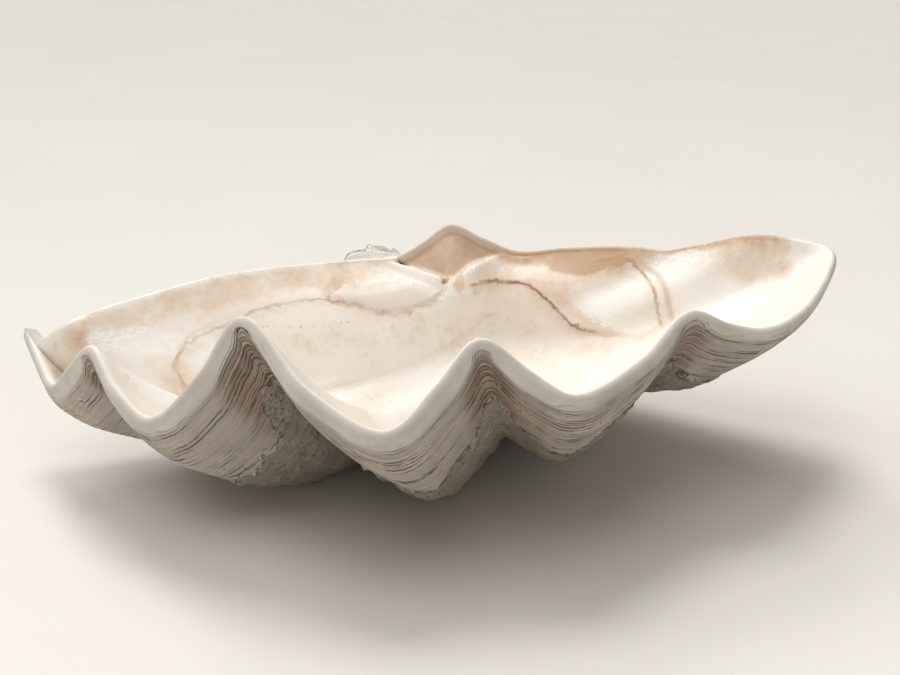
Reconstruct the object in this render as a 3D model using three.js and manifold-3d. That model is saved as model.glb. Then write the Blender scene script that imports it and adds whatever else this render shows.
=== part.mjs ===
// The right valve of a giant clam: one thick, fluted, fan-shaped shell lying on its back with its hollow up.
// The valve is drawn hinge line along X, free edge towards -Y and hollow towards +Z, then tipped as it rests.
// Both faces are swept from the free edge the way a shell grows: each ring is the edge at a younger age,
// smaller, turned about the hinge and closer to the beak. A half-round lip joins the two faces.
// Millimetres, +Z up, origin under the middle of the bounding box on the resting plane.
import * as THREE from "three";
import { mergeVertices } from "three/addons/utils/BufferGeometryUtils.js";
import Module from "manifold-3d";

const DEG = Math.PI / 180;

// The free edge, as a closed loop of [x, y, z]: crests and hollows of five folds, the two blunt ends,
// and the dorsal edge with the low peak of the hinge plate.
const VENTRAL_EDGE = [
  [-372, -95, -1], [-363, -127, -19], [-348, -164, -36], [-326, -194, -12], [-302, -227, 14],
  [-285, -267, -9], [-257, -304, -27], [-213, -333, 13], [-175, -342, 57], [-137, -388, 12],
  [-83, -430, -15], [-42, -415, 8], [-6, -408, 37], [28, -413, 9], [57, -424, -10],
  [124, -382, -7], [186, -335, 12], [218, -332, -4], [249, -328, -14], [323, -264, -21],
  [385, -188, 0],
];
const RIGHT_EDGE = [
  [384, -165, 4], [361, -146, 9], [327, -126, 12], [288, -96, 0], [260, -77, -7], [222, -60, -3],
  [160, -28, -5],
];
const HINGE_EDGE = [
  [118, -12, -7], [85, 0, 8], [52, 10, 25], [22, 6, 12], [-8, 0, 1], [-50, 0, 2],
];
const LEFT_EDGE = [
  [-109, -8, 6], [-160, -19, 9], [-209, -42, 12], [-256, -68, 11], [-301, -100, 11],
  [-334, -127, 8], [-356, -117, -7],
];
const EDGE = [...VENTRAL_EDGE, ...RIGHT_EDGE, ...HINGE_EDGE, ...LEFT_EDGE];
const LEFT_END = new THREE.Vector2(-372, -95);
const RIGHT_END = new THREE.Vector2(385, -188);
const HINGE_REACH = 150; // how far the hinge stands behind the line between the two ends

const LIP_RADIUS = 5; // along the free edge
const DORSAL_LIP_RADIUS = 3; // along the hinge line and the edges beside it
const DORSAL_FROM = 0.35; // share of HINGE_REACH past which the lip is dorsal
const FOLD_LENGTH = 118; // blur along the edge that leaves its shape without the folds
const FRAME_LENGTH = 21; // blur along the edge of the direction in which the lip leaves it
const SIDE_LENGTH = 30; // blur along the edge of what counts as the left and the right of the fan

// How a face grows. turn: how far it winds about the hinge. rate: how fast it shrinks while it winds.
// drop and reach: how far it bellies down and forward. late: puts the belly nearer the edge the smaller it is.
// fade, fadeEnd: how much of the folds is lost, and by what share of the turn. still: how much less the hinge
// edge winds. Each triple is the middle of the fan, then what the left and right sides add to it.
const OUTER = {
  pole: new THREE.Vector3(117, 29, -18),
  turn: 160 * DEG,
  rate: [1.28, -0.24, 0.27],
  drop: [34, 107, -71],
  reach: [15, 106, 0],
  late: [0.38, 0.23, -0.08],
  hingeDrop: 30,
  fade: 0.345,
  fadeEnd: 1,
  still: 0.6,
  closes: false,
};
const INNER = {
  pole: new THREE.Vector3(75, -50, -60),
  turn: 72 * DEG,
  rate: [1.45, -0.2, 0.05],
  drop: [62, 90, 0],
  reach: [0, 60, 0],
  late: [0.75, 0, 0],
  hingeDrop: 15,
  fade: 0.95,
  fadeEnd: 0.5,
  still: 0,
  closes: true,
};

// The heap of crust behind the hinge line, left of the peak: its reach along X, how far behind the rim it
// starts, stands at its full height and ends, and the way it stands out.
const HEAP_X = [-78, -56, -18, -4];
const HEAP_BEHIND = [0.5, 9, 24, 44];
const HEAP_HEIGHT = 20;
const HEAP_WAY = new THREE.Vector3(0, 0.6, 0.8);

// Least wall between the faces, at shares of the way from the edge to the deep end of the hollow.
const WALL = [[0, 0], [0.1, 13], [0.3, 20], [1, 28]];
const WALL_PASSES = 3;

const ROLL = 4.5 * DEG; // right end high
const PITCH = 2 * DEG; // free edge high
const WORN = 3; // depth of the flats that are worn on the ribs it rests on

const AROUND = 132;
const OUTER_RINGS = 15;
const INNER_RINGS = 10;
const LIP_RINGS = 2;
const OUTER_CROWDING = 1.25; // rings stand closer near the edge
const INNER_CROWDING = 1.1;

const SHELL_COLOUR = 0xe9dfd0;
const SHELL_ROUGHNESS = 0.55;

const lerp = THREE.MathUtils.lerp;
const clamp = THREE.MathUtils.clamp;
const smoothstep = THREE.MathUtils.smoothstep;
const mix = ([middle, left, right], side) => middle + left * side.left + right * side.right;

// Circular Gaussian blur of a ring of vectors; sigma is in steps along the ring.
function blurRing(ring, sigma) {
  const reach = Math.ceil(3.5 * sigma);
  const count = ring.length;
  return ring.map((_, i) => {
    const sum = new THREE.Vector3();
    let weights = 0;
    for (let k = -reach; k <= reach; k++) {
      const weight = Math.exp(-0.5 * (k / sigma) ** 2);
      sum.addScaledVector(ring[(((i + k) % count) + count) % count], weight);
      weights += weight;
    }
    return sum.divideScalar(weights);
  });
}

// 0 on the ventral side of the line between the ends, 1 at the hinge.
function hingeward(point) {
  const along = (point.x - LEFT_END.x) / (RIGHT_END.x - LEFT_END.x);
  return clamp((point.y - lerp(LEFT_END.y, RIGHT_END.y, along)) / HINGE_REACH, 0, 1);
}

// How far to the left or right of the pole each point of the unfolded edge lies, as seen across the fan.
function sidesOf(unfolded, pole, sigma) {
  const shares = unfolded.map((point) => {
    const bearing = Math.atan2(point.x - pole.x, pole.y - point.y);
    const across = Math.sin(clamp(bearing, -Math.PI / 2, Math.PI / 2));
    return new THREE.Vector3(Math.max(0, -across) ** 2, Math.max(0, across) ** 2, 0);
  });
  return blurRing(shares, sigma).map(({ x, y }) => ({ left: x, right: y }));
}

// The ring at the share t of a face's growth, from the edge (t = 0) back to the pole (t = 1).
function growthRing(edge, unfolded, sides, face, t) {
  const flattening = face.fade * smoothstep(t, 0, face.fadeEnd);
  return edge.map((point, i) => {
    const plain = unfolded[i];
    const side = sides[i];
    const dorsal = hingeward(plain);
    const rate = mix(face.rate, side);
    const last = face.closes ? Math.exp(-rate * face.turn) : 0;
    const size = (Math.exp(-rate * t * face.turn) - last) / (1 - last);
    const belly = size * (1 - size) ** mix(face.late, side);
    const free = 1 - smoothstep(dorsal, 0, 1);
    const drop = lerp(face.hingeDrop, mix(face.drop, side), free);
    const angle = t * face.turn * (1 - face.still * smoothstep(dorsal, 0.5, 1));
    const place = point.clone().lerp(plain, flattening).sub(face.pole).multiplyScalar(size);
    place.applyAxisAngle(new THREE.Vector3(1, 0, 0), angle);
    place.y -= mix(face.reach, side) * free * belly;
    place.z -= drop * belly;
    return place.add(face.pole);
  });
}

function growFace(edge, face, ringCount, crowding, spacing) {
  const unfolded = blurRing(edge, FOLD_LENGTH / spacing);
  const sides = sidesOf(unfolded, face.pole, SIDE_LENGTH / spacing);
  return Array.from({ length: ringCount }, (_, i) =>
    growthRing(edge, unfolded, sides, face, (i / (ringCount - 1)) ** crowding),
  );
}

// At each point of the edge: inward, the way the outer face leaves it, down, square to that face, and the
// radius of the lip.
function edgeFrames(edge, spacing) {
  const unfolded = blurRing(edge, FOLD_LENGTH / spacing);
  const sides = sidesOf(unfolded, OUTER.pole, SIDE_LENGTH / spacing);
  const next = growthRing(edge, unfolded, sides, OUTER, 0.02);
  const tangents = edge.map((_, i) =>
    new THREE.Vector3().subVectors(edge.at((i + 1) % edge.length), edge.at(i - 1)).normalize(),
  );
  const leaving = tangents.map((tangent, i) => {
    const way = new THREE.Vector3().subVectors(next[i], edge[i]);
    return way.addScaledVector(tangent, -way.dot(tangent)).normalize();
  });
  return blurRing(leaving, FRAME_LENGTH / spacing).map((way, i) => {
    const inward = way.normalize();
    const down = new THREE.Vector3().crossVectors(inward, tangents[i]).normalize();
    const dorsal = smoothstep(hingeward(edge[i]), 0, DORSAL_FROM);
    return { inward, down, radius: lerp(LIP_RADIUS, DORSAL_LIP_RADIUS, dorsal) };
  });
}

// The ring on the lip's half circle at an angle from the outer side (0) to the inner side (180 degrees).
function lipRing(edge, frames, angle) {
  const { sin, cos } = Math;
  return edge.map((point, i) => {
    const { inward, down, radius } = frames[i];
    const back = point.clone().addScaledVector(inward, radius * (1 - sin(angle)));
    return back.addScaledVector(down, radius * cos(angle));
  });
}

// 0 outside [start, end], 1 between full and falls, smooth in between.
function plateau(x, [start, full, falls, end]) {
  return smoothstep(x, start, full) * (1 - smoothstep(x, falls, end));
}

function heapCrust(outer) {
  const behindHinge = (i) => hingeward(outer[0][i]) > 0.5;
  outer.slice(1).forEach((ring) =>
    ring.forEach((point, i) => {
      if (!behindHinge(i)) return;
      const amount = plateau(point.x, HEAP_X) * plateau(point.distanceTo(outer[0][i]), HEAP_BEHIND);
      point.addScaledVector(HEAP_WAY, HEAP_HEIGHT * amount);
    }),
  );
}

// Normals of a grid of rings, pointing down from the middle of the ventral side.
function gridNormals(rings) {
  const count = rings[0].length;
  const lastRing = rings.length - 1;
  return rings.map((ring, r) =>
    ring.map((_, i) => {
      const along = new THREE.Vector3().subVectors(ring[(i + 1) % count], ring.at(i - 1));
      const before = rings[Math.max(r - 1, 0)][i];
      const across = new THREE.Vector3().subVectors(rings[Math.min(r + 1, lastRing)][i], before);
      return along.cross(across).normalize();
    }),
  );
}

function blurPush(push) {
  const around = push.map((ring) =>
    ring.map((v, i) =>
      v.clone().multiplyScalar(2).add(ring.at(i - 1)).add(ring[(i + 1) % ring.length]).divideScalar(4),
    ),
  );
  return around.map((ring, r) => {
    if (r === 0) return ring.map(() => new THREE.Vector3());
    if (r === push.length - 1) return ring;
    return ring.map((v, i) =>
      v.clone().multiplyScalar(2).add(around[r - 1][i]).add(around[r + 1][i]).divideScalar(4),
    );
  });
}

function leastWall(t) {
  const k = Math.max(1, WALL.findIndex(([share]) => share >= t));
  const [[t0, w0], [t1, w1]] = [WALL[k - 1], WALL[k]];
  return lerp(w0, w1, (t - t0) / (t1 - t0));
}

// Moves the inner face away from the outer face wherever the wall between them is too thin.
function keepWall(inner, outer) {
  const facing = outer[0].reduce((best, p, i) => (p.y < outer[0][best].y ? i : best), 0);
  const normals = gridNormals(outer);
  const sign = normals[Math.floor(outer.length / 4)][facing].z > 0 ? -1 : 1;
  const skin = outer.slice(0, -1).flat();
  const skinNormals = normals.slice(0, -1).flat().map((n) => n.multiplyScalar(sign));
  const nearest = (point) => {
    let best = 0;
    let least = Infinity;
    for (let i = 0; i < skin.length; i++) {
      const distance = point.distanceToSquared(skin[i]);
      if (distance < least) {
        least = distance;
        best = i;
      }
    }
    return best;
  };
  for (let pass = 0; pass < WALL_PASSES; pass++) {
    const push = inner.map((ring, r) => {
      const wall = leastWall((r / (inner.length - 1)) ** INNER_CROWDING);
      return ring.map((point) => {
        const at = nearest(point);
        const depth = new THREE.Vector3().subVectors(skin[at], point).dot(skinNormals[at]);
        return skinNormals[at].clone().multiplyScalar(-Math.max(0, wall - depth));
      });
    });
    blurPush(push).forEach((ring, r) => ring.forEach((v, i) => inner[r][i].add(v)));
  }
}

// A closed triangle mesh from a stack of rings, with a cap at each end.
function skinRings(rings) {
  const count = rings[0].length;
  const middleOf = (ring) =>
    ring.reduce((sum, p) => sum.add(p), new THREE.Vector3()).divideScalar(count);
  const points = [...rings.flat(), middleOf(rings[0]), middleOf(rings.at(-1))];
  const firstCap = rings.length * count;
  const lastRow = (rings.length - 1) * count;
  const triangles = [];
  for (let i = 0; i < count; i++) {
    const next = (i + 1) % count;
    triangles.push(firstCap, next, i, firstCap + 1, lastRow + i, lastRow + next);
    for (let row = 0; row < lastRow; row += count) {
      triangles.push(row + i, row + next, row + count + next);
      triangles.push(row + i, row + count + next, row + count + i);
    }
  }
  const geometry = new THREE.BufferGeometry().setFromPoints(points);
  geometry.setIndex(triangles);
  return geometry;
}

function valveGeometry() {
  const curve = new THREE.CatmullRomCurve3(
    EDGE.map((p) => new THREE.Vector3(...p)), true, "centripetal",
  );
  curve.arcLengthDivisions = 40 * EDGE.length;
  const edge = curve.getSpacedPoints(AROUND).slice(0, AROUND);
  const spacing = curve.getLength() / AROUND;
  const frames = edgeFrames(edge, spacing);
  const outer = growFace(lipRing(edge, frames, 0), OUTER, OUTER_RINGS, OUTER_CROWDING, spacing);
  const inner = growFace(lipRing(edge, frames, Math.PI), INNER, INNER_RINGS, INNER_CROWDING, spacing);
  keepWall(inner, outer);
  heapCrust(outer);
  const lip = Array.from({ length: LIP_RINGS }, (_, i) =>
    lipRing(edge, frames, (Math.PI * (i + 1)) / (LIP_RINGS + 1)),
  );
  return skinRings([...outer.reverse(), ...lip, ...inner]);
}

const wasm = await Module();
wasm.setup();

function solidOf(geometry) {
  const bare = geometry.clone();
  bare.deleteAttribute("normal");
  bare.deleteAttribute("uv");
  const merged = mergeVertices(bare);
  return new wasm.Manifold(
    new wasm.Mesh({
      numProp: 3,
      vertProperties: merged.attributes.position.array,
      triVerts: new Uint32Array(merged.index.array),
    }),
  );
}

function geometryOf(solid) {
  const { vertProperties, triVerts } = solid.getMesh();
  return new THREE.BufferGeometry()
    .setAttribute("position", new THREE.BufferAttribute(vertProperties, 3))
    .setIndex(new THREE.BufferAttribute(triVerts, 1));
}

// Tips the valve into its resting pose, lowers it until the worn flats lie on z = 0, and wears them.
function restOnRibs(geometry) {
  geometry.rotateY(-ROLL).rotateX(-PITCH);
  geometry.computeBoundingBox();
  const { min, max } = geometry.boundingBox;
  geometry.translate(-(min.x + max.x) / 2, -(min.y + max.y) / 2, -(min.z + WORN));
  const ground = new THREE.BoxGeometry(2 * (max.x - min.x), 2 * (max.y - min.y), 4 * WORN);
  ground.translate(0, 0, -2 * WORN);
  return geometryOf(solidOf(geometry).subtract(solidOf(ground)));
}

const geometry = restOnRibs(valveGeometry());
geometry.computeVertexNormals();

const valve = new THREE.Mesh(
  geometry,
  new THREE.MeshStandardMaterial({ color: SHELL_COLOUR, roughness: SHELL_ROUGHNESS, metalness: 0 }),
);
valve.name = "valve";

const shell = new THREE.Group();
shell.name = "giant_clam_shell";
shell.add(valve);

export default shell;
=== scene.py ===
"""One valve of a giant clam, hollow side up, on a pale floor.

The shell is grown by the same rules as its CAD solid, at a finer step: rings of the free edge, each younger,
smaller, turned about the hinge and nearer the beak. Growth ledges, crust, pits, the hinge and the marks
inside are then moved into that surface, and the same measures feed the material.
Shell frame: X along the hinge line, -Y to the free edge, +Z out of the hollow. Lengths there are millimetres.
"""
import math

import bpy
import numpy as np
from mathutils import Matrix, Vector, kdtree, noise


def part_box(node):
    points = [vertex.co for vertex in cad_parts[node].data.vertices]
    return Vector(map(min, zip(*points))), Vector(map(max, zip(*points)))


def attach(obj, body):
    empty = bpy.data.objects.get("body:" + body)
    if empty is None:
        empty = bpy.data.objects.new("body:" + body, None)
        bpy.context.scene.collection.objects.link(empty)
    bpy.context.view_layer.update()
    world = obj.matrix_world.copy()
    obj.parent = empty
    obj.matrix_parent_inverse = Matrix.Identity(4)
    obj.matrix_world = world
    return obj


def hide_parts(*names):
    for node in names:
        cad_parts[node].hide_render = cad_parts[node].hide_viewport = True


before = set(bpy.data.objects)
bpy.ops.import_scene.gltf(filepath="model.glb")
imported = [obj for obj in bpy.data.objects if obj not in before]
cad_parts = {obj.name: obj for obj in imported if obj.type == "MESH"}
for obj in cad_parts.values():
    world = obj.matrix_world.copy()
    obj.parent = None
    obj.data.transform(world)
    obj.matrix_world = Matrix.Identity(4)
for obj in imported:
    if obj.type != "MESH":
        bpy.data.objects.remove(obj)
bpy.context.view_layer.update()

MM = 0.001
DEG = math.pi / 180

# ---------------------------------------------------------------- the shell's driving dimensions (mm)

VENTRAL_EDGE = [
    [-372, -95, -1], [-363, -127, -19], [-348, -164, -36], [-326, -194, -12], [-302, -227, 14],
    [-285, -267, -9], [-257, -304, -27], [-213, -333, 13], [-175, -342, 57], [-137, -388, 12],
    [-83, -430, -15], [-42, -415, 8], [-6, -408, 37], [28, -413, 9], [57, -424, -10],
    [124, -382, -7], [186, -335, 12], [218, -332, -4], [249, -328, -14], [323, -264, -21],
    [385, -188, 0],
]
RIGHT_EDGE = [
    [384, -165, 4], [361, -146, 9], [327, -126, 12], [288, -96, 0], [260, -77, -7], [222, -60, -3],
    [160, -28, -5],
]
HINGE_EDGE = [
    [118, -12, -7], [85, 0, 8], [52, 10, 25], [22, 6, 12], [-8, 0, 1], [-50, 0, 2],
]
LEFT_EDGE = [
    [-109, -8, 6], [-160, -19, 9], [-209, -42, 12], [-256, -68, 11], [-301, -100, 11],
    [-334, -127, 8], [-356, -117, -7],
]
LEFT_END = np.array([-372.0, -95.0])
RIGHT_END = np.array([385.0, -188.0])
HINGE_REACH = 150
LIP_RADIUS = 5
DORSAL_LIP_RADIUS = 3
RAY_RADIUS = 300
CRUST_HEAP = 25
FOLD_LENGTH = 118
FRAME_LENGTH = 21

OUTER = dict(
    pole=(117, 29, -18), turn=160 * DEG, rate=(1.28, -0.24, 0.27), drop=(34, 107, -71),
    reach=(15, 106, 0), late=(0.38, 0.23, -0.08), hinge_drop=30, fade=0.345, fade_end=1, still=0.6,
    closes=False,
)
INNER = dict(
    pole=(75, -50, -60), turn=72 * DEG, rate=(1.45, -0.2, 0.05), drop=(62, 90, 0),
    reach=(0, 60, 0), late=(0.75, 0, 0), hinge_drop=15, fade=0.95, fade_end=0.5, still=0,
    closes=True,
)
WALL = ((0, 0.1, 0.3, 1), (0, 13, 20, 28))
WALL_PASSES = 4
WALL_BLUR = (5, 5)
ROLL = 4.5 * DEG
PITCH = 2 * DEG
WORN = 3

def srgb(red, green, blue):
    """A colour given as it looks on screen, from 0 to 255."""
    decode = lambda c: c / 12.92 if c <= 0.04045 else ((c + 0.055) / 1.055) ** 2.4
    return tuple(decode(c / 255) for c in (red, green, blue)) + (1.0,)


# ---------------------------------------------------------------- how finely the surface is cut

EVEN = 1200
AROUND = 400
FINE_REACH = 150
FINE_RINGS = 108
COARSE_RINGS = 64
LAST_SHARE = 0.8
SIDE_BLUR = 30
LIP_RINGS = 7
INNER_RINGS = 64
INNER_CROWDING = 1.15

# ---------------------------------------------------------------- ledges and crust outside (mm)

LIP_BAND = -1
FLANK_BAND = 8
RIB_BAND = 3
LEDGE_DEPTH = 1.7
LEDGE_TAPER = 1.6
CREST_FOLD = 30
LAST_LEDGE = 520
CREST_REACH = 240
CRUST_SPAN = 30

# ---------------------------------------------------------------- marks inside, in the plan of the shell (mm)

CALLUS_LEFT = [(-86, -43), (-60, -49), (-43, -55), (-21, -57), (2, -53), (18, -49), (30, -43), (24, -34),
               (8, -20), (-24, -14), (-52, -26), (-74, -34)]
PALLIAL_LINE = [(-43, -54), (-76, -46), (-105, -45), (-135, -51), (-166, -64), (-207, -87), (-230, -106),
                (-242, -130), (-236, -137)]
CALLUS_RIGHT = [(69, -44), (90, -42), (111, -46), (123, -56), (143, -75), (151, -84), (166, -95)]
SCAR_INNER = [(200, -60), (212, -64), (224, -71), (230, -81), (233, -103), (232, -122)]
SCAR_OUTER = [(222, -66), (229, -72), (240, -86), (243, -108), (243, -128)]
FRINGE = [(150, -74), (167, -91), (192, -113), (214, -130), (232, -128)]
LEFT_ARC = [(-209, -84), (-226, -98), (-238, -121), (-236, -140), (-222, -160), (-205, -172)]
PLATE = [(-6, -8), (8, -16), (21, -25), (39, -37), (52, -36), (61, -33), (78, -23), (99, -12), (118, -16)]
CRACK = [(-68, -112), (-60, -120), (-50, -131), (-40, -146)]
DOT_LINE = [(-152, -73), (-118, -70), (-69, -64)]
MARKS = dict(
    pallial=PALLIAL_LINE, right=CALLUS_RIGHT, scar_inner=SCAR_INNER, scar_outer=SCAR_OUTER, fringe=FRINGE,
    left_arc=LEFT_ARC, plate=PLATE, crack=CRACK, dots=DOT_LINE,
)
EXTENSION = 70

TAN = [
    ([(-238, -74), (-161, -36), (-110, -22), (-68, -14), (-30, -9)], 20, 0.75),
    ([(-85, -36), (-74, -24), (-62, -17)], 13, 1.0),
    ([(-337, -137), (-302, -118), (-265, -92), (-210, -62)], 18, 0.7),
    ([(-325, -137), (-310, -132)], 11, 1.0),
    ([(-222, -97), (-236, -112), (-238, -135)], 20, 0.62),
    ([(100, -8), (128, -17), (160, -33), (196, -52), (214, -60)], 17, 1.5),
    ([(150, -38), (170, -50), (190, -56)], 12, 1.7),
    ([(214, -56), (250, -74), (290, -98), (330, -128), (352, -142)], 12, 1.2),
    ([(163, -52), (176, -64), (186, -68)], 13, 0.75),
    ([(283, -112), (330, -146), (346, -160)], 14, 0.8),
    ([(100, -16), (128, -30), (150, -44)], 10, 0.5),
    ([(141, -82), (160, -96), (190, -130)], 20, 0.45),
    ([(30, -70), (84, -70), (120, -85)], 22, 0.35),
    ([(84, -40), (116, -42), (150, -62)], 18, 0.8),
    ([(-290, -215), (-270, -225), (-240, -160)], 12, 0.5),
    ([(-118, -78), (-60, -70), (0, -66)], 14, 0.45),
]
WHITE = [
    ([(-300, -137), (-258, -112), (-222, -106), (-215, -98)], 15, 1.0),
    ([(-281, -150), (-262, -180), (-258, -225)], 26, 1.0),
    ([(10, -47), (30, -48), (50, -46)], 3, 1.3),
    ([(178, -84), (200, -92), (212, -92)], 19, 0.85),
    ([(250, -90), (283, -140), (300, -175)], 26, 0.8),
    ([(-100, -120), (-80, -180), (-60, -260)], 22, 0.9),
    ([(150, -190), (136, -220), (120, -260)], 26, 0.8),
]
FAR = 500.0  # stands for "no mark near here"

# ---------------------------------------------------------------- colours and finish

OUTER_GREY = srgb(180, 172, 161)
OUTER_CREAM = srgb(204, 194, 181)
OUTER_PALE = srgb(220, 209, 193)
OUTER_TINT = srgb(154, 126, 100)
CREST_BROWN = srgb(128, 96, 72)
OCHRE = srgb(214, 178, 134)
OUTER_DIRT = srgb(138, 116, 94)
# Darkest brown: painted shade in the ledge crevices, pits, holes and the hinge slot, mixed with brown dirt
CREVICE_SHADE_AND_DIRT = srgb(74, 52, 38)
LIP_GREY = srgb(196, 189, 180)
LIP_PALE = srgb(214, 208, 200)
PORCELAIN = srgb(243, 237, 229)
PORCELAIN_WARM = srgb(239, 229, 216)
PORCELAIN_WHITE = srgb(248, 244, 238)
HEAP_WHITE = srgb(255, 250, 240)
PORCELAIN_RIM = srgb(244, 239, 230)
CALLUS_WHITE = srgb(224, 214, 202)
TAN_SOFT = srgb(226, 205, 183)
TAN_DEEP = srgb(194, 158, 126)
LINE_BROWN = srgb(164, 120, 86)
LINE_TAN = srgb(192, 150, 112)
FACE_TAN = srgb(192, 160, 130)
FACE_LIGHT = srgb(212, 186, 162)
PAPER = srgb(228, 225, 220)
PAPER_SHADE = srgb(226, 223, 217)
INSIDE_ROUGHNESS = 0.42
OUTSIDE_ROUGHNESS = 0.9

# ---------------------------------------------------------------- camera, floor and room

TARGET = (-0.0004, -0.0159, 0.1342)
CAMERA_AZIMUTH = -11.08 * DEG
CAMERA_ELEVATION = 19.66 * DEG
CAMERA_ROLL = 0.56 * DEG
CAMERA_DISTANCE = 1.101
SENSOR = 36
FOCAL = 49.48
FLOOR = 40
ROOM_COLOUR = (0.98, 0.94, 0.89, 1)
ROOM_STRENGTH = 0.33

# ---------------------------------------------------------------- small tools


def smoothstep(low, high, x):
    t = np.clip((x - low) / (high - low), 0, 1)
    return t * t * (3 - 2 * t)


def unit(v):
    return v / np.maximum(np.linalg.norm(v, axis=-1, keepdims=True), 1e-9)


def catmull_rom(nodes, per_span, closed):
    """Centripetal Catmull-Rom curve through the nodes, as a dense line."""
    nodes = np.asarray(nodes, float)
    count = len(nodes)
    if closed:
        pick = lambda i: nodes[i % count]
    else:
        padded = np.vstack([2 * nodes[0] - nodes[1], nodes, 2 * nodes[-1] - nodes[-2]])
        pick = lambda i: padded[i + 1]
    spans = count if closed else count - 1
    line = []
    for i in range(spans):
        p = [pick(i + k) for k in (-1, 0, 1, 2)]
        knots = np.cumsum([0] + [np.linalg.norm(p[k + 1] - p[k]) ** 0.5 for k in range(3)])
        t = np.linspace(knots[1], knots[2], per_span, endpoint=False)[:, None]
        a = [((knots[k + 1] - t) * p[k] + (t - knots[k]) * p[k + 1]) / (knots[k + 1] - knots[k])
             for k in range(3)]
        b = [((knots[k + 2] - t) * a[k] + (t - knots[k]) * a[k + 1]) / (knots[k + 2] - knots[k])
             for k in range(2)]
        line.append(((knots[2] - t) * b[0] + (t - knots[1]) * b[1]) / (knots[2] - knots[1]))
    line = np.vstack(line)
    return line if closed else np.vstack([line, nodes[-1]])


def even_ring(line, count):
    """A closed line as evenly spaced points, and its length."""
    shut = np.vstack([line, line[:1]])
    run = np.concatenate([[0], np.cumsum(np.linalg.norm(np.diff(shut, axis=0), axis=1))])
    at = np.linspace(0, run[-1], count, endpoint=False)
    return np.stack([np.interp(at, run, shut[:, k]) for k in range(3)], 1), run[-1]


def blur_ring(ring, sigma):
    """Circular Gaussian blur along an even ring; sigma is in steps."""
    turns = np.fft.fftfreq(len(ring))
    gain = np.exp(-0.5 * (turns * 2 * math.pi * sigma) ** 2)
    return np.real(np.fft.ifft(np.fft.fft(ring, axis=0) * gain[:, None], axis=0))


def at_stations(ring, stations):
    """Values of an even ring at shares of the way round."""
    shares = np.linspace(0, 1, len(ring) + 1)
    shut = np.vstack([ring, ring[:1]])
    return np.stack([np.interp(stations, shares, shut[:, k]) for k in range(shut.shape[1])], 1)


def noise_at(points, size, seed, octaves=1):
    """Smooth noise from about -1 to 1 at an array of points, with features about `size` across."""
    shift = Vector((seed * 17.31, seed * 5.77, seed * 11.13))
    flat = (np.asarray(points, float) / size).reshape(-1, 3)
    if octaves == 1:
        out = [noise.noise(Vector(p) + shift) for p in flat]
    else:
        out = [noise.fractal(Vector(p) + shift, 1.0, 2.0, octaves) for p in flat]
    return np.array(out).reshape(np.shape(points)[:-1])


# ---------------------------------------------------------------- growth


def hingeward(points):
    along = (points[:, 0] - LEFT_END[0]) / (RIGHT_END[0] - LEFT_END[0])
    line = LEFT_END[1] + along * (RIGHT_END[1] - LEFT_END[1])
    return np.clip((points[:, 1] - line) / HINGE_REACH, 0, 1)


def side_shares(unfolded, face, sigma):
    """How far each point of an even ring counts as the left or the right of the fan."""
    away = unfolded - np.array(face["pole"], float)
    bearing = np.arctan2(away[:, 0], -away[:, 1])
    across = np.sin(np.clip(bearing, -math.pi / 2, math.pi / 2))
    return blur_ring(np.stack([np.clip(-across, 0, None) ** 2, np.clip(across, 0, None) ** 2], 1), sigma)


def grow(edge, unfolded, face, shares, sides):
    """Rings of a face at shares of its growth, from the edge (0) back to the pole (1)."""
    pole = np.array(face["pole"], float)
    left, right = sides.T
    mix = lambda triple: triple[0] + triple[1] * left + triple[2] * right
    dorsal = hingeward(unfolded)
    free = 1 - smoothstep(0, 1, dorsal)
    rate = mix(face["rate"])
    last = np.exp(-rate * face["turn"]) if face["closes"] else 0
    drop = mix(face["drop"]) * free + face["hinge_drop"] * (1 - free)
    reach = mix(face["reach"]) * free
    held = 1 - face["still"] * smoothstep(0.5, 1, dorsal)
    rings = []
    for t in shares:
        size = (np.exp(-rate * t * face["turn"]) - last) / (1 - last)
        belly = size * np.clip(1 - size, 0, 1) ** mix(face["late"])
        flattening = face["fade"] * smoothstep(0, face["fade_end"], t)
        place = (edge + (unfolded - edge) * flattening - pole) * size[:, None]
        angle = t * face["turn"] * held
        y = place[:, 1] * np.cos(angle) - place[:, 2] * np.sin(angle) - reach * belly
        z = place[:, 1] * np.sin(angle) + place[:, 2] * np.cos(angle) - drop * belly
        rings.append(np.stack([place[:, 0], y, z], 1) + pole)
    return np.array(rings)


def edge_frames(edge, spacing):
    """Along the edge: the way the outer face leaves it, and down, square to that face."""
    unfolded = blur_ring(edge, FOLD_LENGTH / spacing)
    tangent = unit(np.roll(edge, -1, 0) - np.roll(edge, 1, 0))
    way = grow(edge, unfolded, OUTER, [0.02], side_shares(unfolded, OUTER, 1))[0] - edge
    way = unit(way - tangent * (way * tangent).sum(1, keepdims=True))
    inward = unit(blur_ring(way, FRAME_LENGTH / spacing))
    down = unit(np.cross(inward, tangent))
    return inward, down


def grid_normals(rings):
    along = np.roll(rings, -1, 1) - np.roll(rings, 1, 1)
    across = np.gradient(rings, axis=0)
    return unit(np.cross(along, across))


def blur_rows(values, sigma):
    """Gaussian blur across the rings of a grid. The first ring stays as it is."""
    rows = np.arange(len(values))
    weights = np.exp(-0.5 * ((rows[:, None] - rows[None]) / sigma) ** 2)
    weights /= weights.sum(1, keepdims=True)
    out = np.tensordot(weights, values, 1)
    return out * smoothstep(0, 3, rows)[:, None, None]


def blur_around(values, sigma):
    return np.stack([blur_ring(row, sigma) for row in values])


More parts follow.
